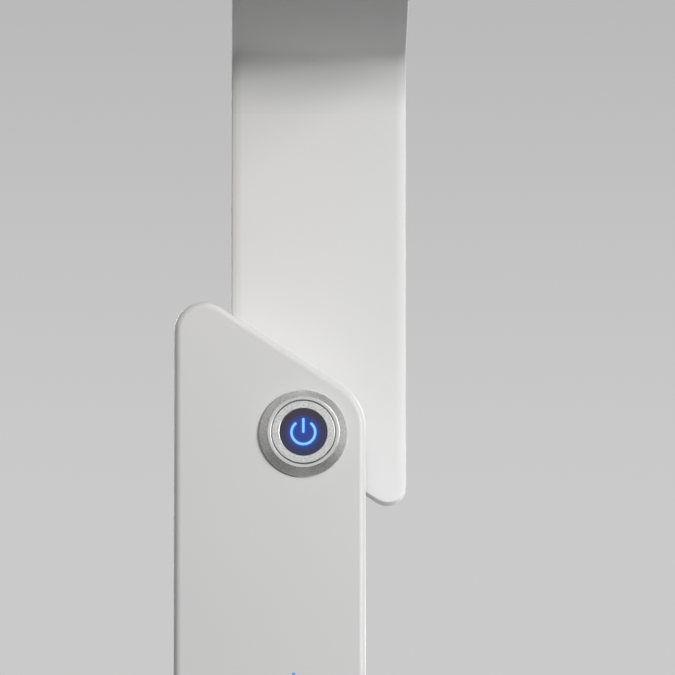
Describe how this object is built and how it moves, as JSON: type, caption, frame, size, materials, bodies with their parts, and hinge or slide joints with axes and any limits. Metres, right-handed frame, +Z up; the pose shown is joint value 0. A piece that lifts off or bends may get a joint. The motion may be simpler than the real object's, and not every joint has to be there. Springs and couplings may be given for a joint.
{
  "type": "uplight floor lamp",
  "caption": "Slender white floor uplight: flat hollow post with a lit push button on a weighted base, and a bent slab arm on a friction hinge that carries an upward LED panel.",
  "frame": {"origin": "middle of the base's underside, on the floor", "axes": "+Z up; the button and the head face -Y (the front); +X is to the right seen from the front"},
  "size_m": [0.24, 0.3249, 1.797],
  "materials": {
    "white_paint": "smooth satin white powder coat on steel sheet",
    "base_paint": "smooth satin white powder coat on a thick steel plate",
    "arm_paint": "smooth satin white paint on cast aluminium",
    "steel": "bare zinc-plated steel",
    "screw_steel": "white-lacquered and plain steel screws",
    "bezel_metal": "fine-turned satin stainless steel",
    "brass": "plain brass",
    "mat_foam": "matte black foam rubber",
    "seal_rubber": "black rubber",
    "black_plastic": "black moulded plastic",
    "white_plastic": "natural white moulded plastic",
    "circuit_board": "green solder resist on glass-fibre board",
    "white_circuit_board": "white solder resist on an aluminium board",
    "components": "black and grey electronic components",
    "led": "yellow phosphor in a white package",
    "blue_led": "clear package with a blue light",
    "lens": "dark smoked polycarbonate",
    "blue_light_guide": "translucent plastic lit blue from behind",
    "clear_plastic": "clear polycarbonate",
    "spring_steel": "spring steel wire",
    "opal": "opal acrylic",
    "bare_aluminium": "bare extruded aluminium",
    "cable_jacket": "black cable jacket"
  },
  "bodies": {
    "stand": {"post_shell": "white_paint", "post_rear_cover": "white_paint", "base_plate": "base_paint", "foot_bracket": "steel", "cover_bars": "steel", "hinge_bracket": "steel", "stop_pins": "steel", "foot_bolts": "steel", "foot_screws": "screw_steel", "cover_screws": "screw_steel", "board_screws": "screw_steel", "switch_bezel": "bezel_metal", "board_standoffs": "brass", "switch_terminals": "brass", "supply_pin": "brass", "hinge_bush": "brass", "switch_nut": "brass", "supply_nut": "brass", "base_mat": "mat_foam", "switch_seal": "seal_rubber", "foot_gasket": "seal_rubber", "supply_socket": "black_plastic", "contact_block": "black_plastic", "cable_clips": "white_plastic", "switch_plug": "white_plastic", "control_board": "circuit_board", "indicator_board": "circuit_board", "board_components": "components", "indicator_pads": "components", "switch_led": "blue_led", "indicator_led": "blue_led", "indicator_light_pipe": "blue_light_guide", "lamp_cable": "cable_jacket", "switch_cable": "cable_jacket", "indicator_cable": "cable_jacket", "supply_cable": "cable_jacket"},
    "power_button": {"button_ring": "bezel_metal", "button_lens": "lens", "power_symbol": "blue_light_guide", "button_stem": "clear_plastic", "return_spring": "spring_steel"},
    "arm": {"arm_shell": "arm_paint", "arm_rear_cover": "arm_paint", "arm_cover_screws": "screw_steel", "arm_hinge_plate": "steel", "plate_studs": "steel", "plate_nuts": "steel", "heat_spreader": "bare_aluminium", "led_board": "white_circuit_board", "diffuser": "opal", "leds": "led", "arm_connector": "white_plastic", "arm_cable": "cable_jacket", "hinge_shaft": "steel", "friction_washer": "black_plastic", "stop_washer": "steel", "spring_washers": "steel", "hinge_nut": "steel"}
  },
  "joints": [
    {"name": "button_press", "type": "slide", "parent": "stand", "child": "power_button", "axis": [0, 1, 0], "range_m": [0, 0.0025], "stiffness_N_per_m": 800, "springref_m": -0.002},
    {"name": "arm_swing", "type": "hinge", "parent": "stand", "child": "arm", "pos_m": [0.0083, 0.094, 1.6871], "axis": [0, 1, 0], "range_deg": [-90, 90]}
  ]
}
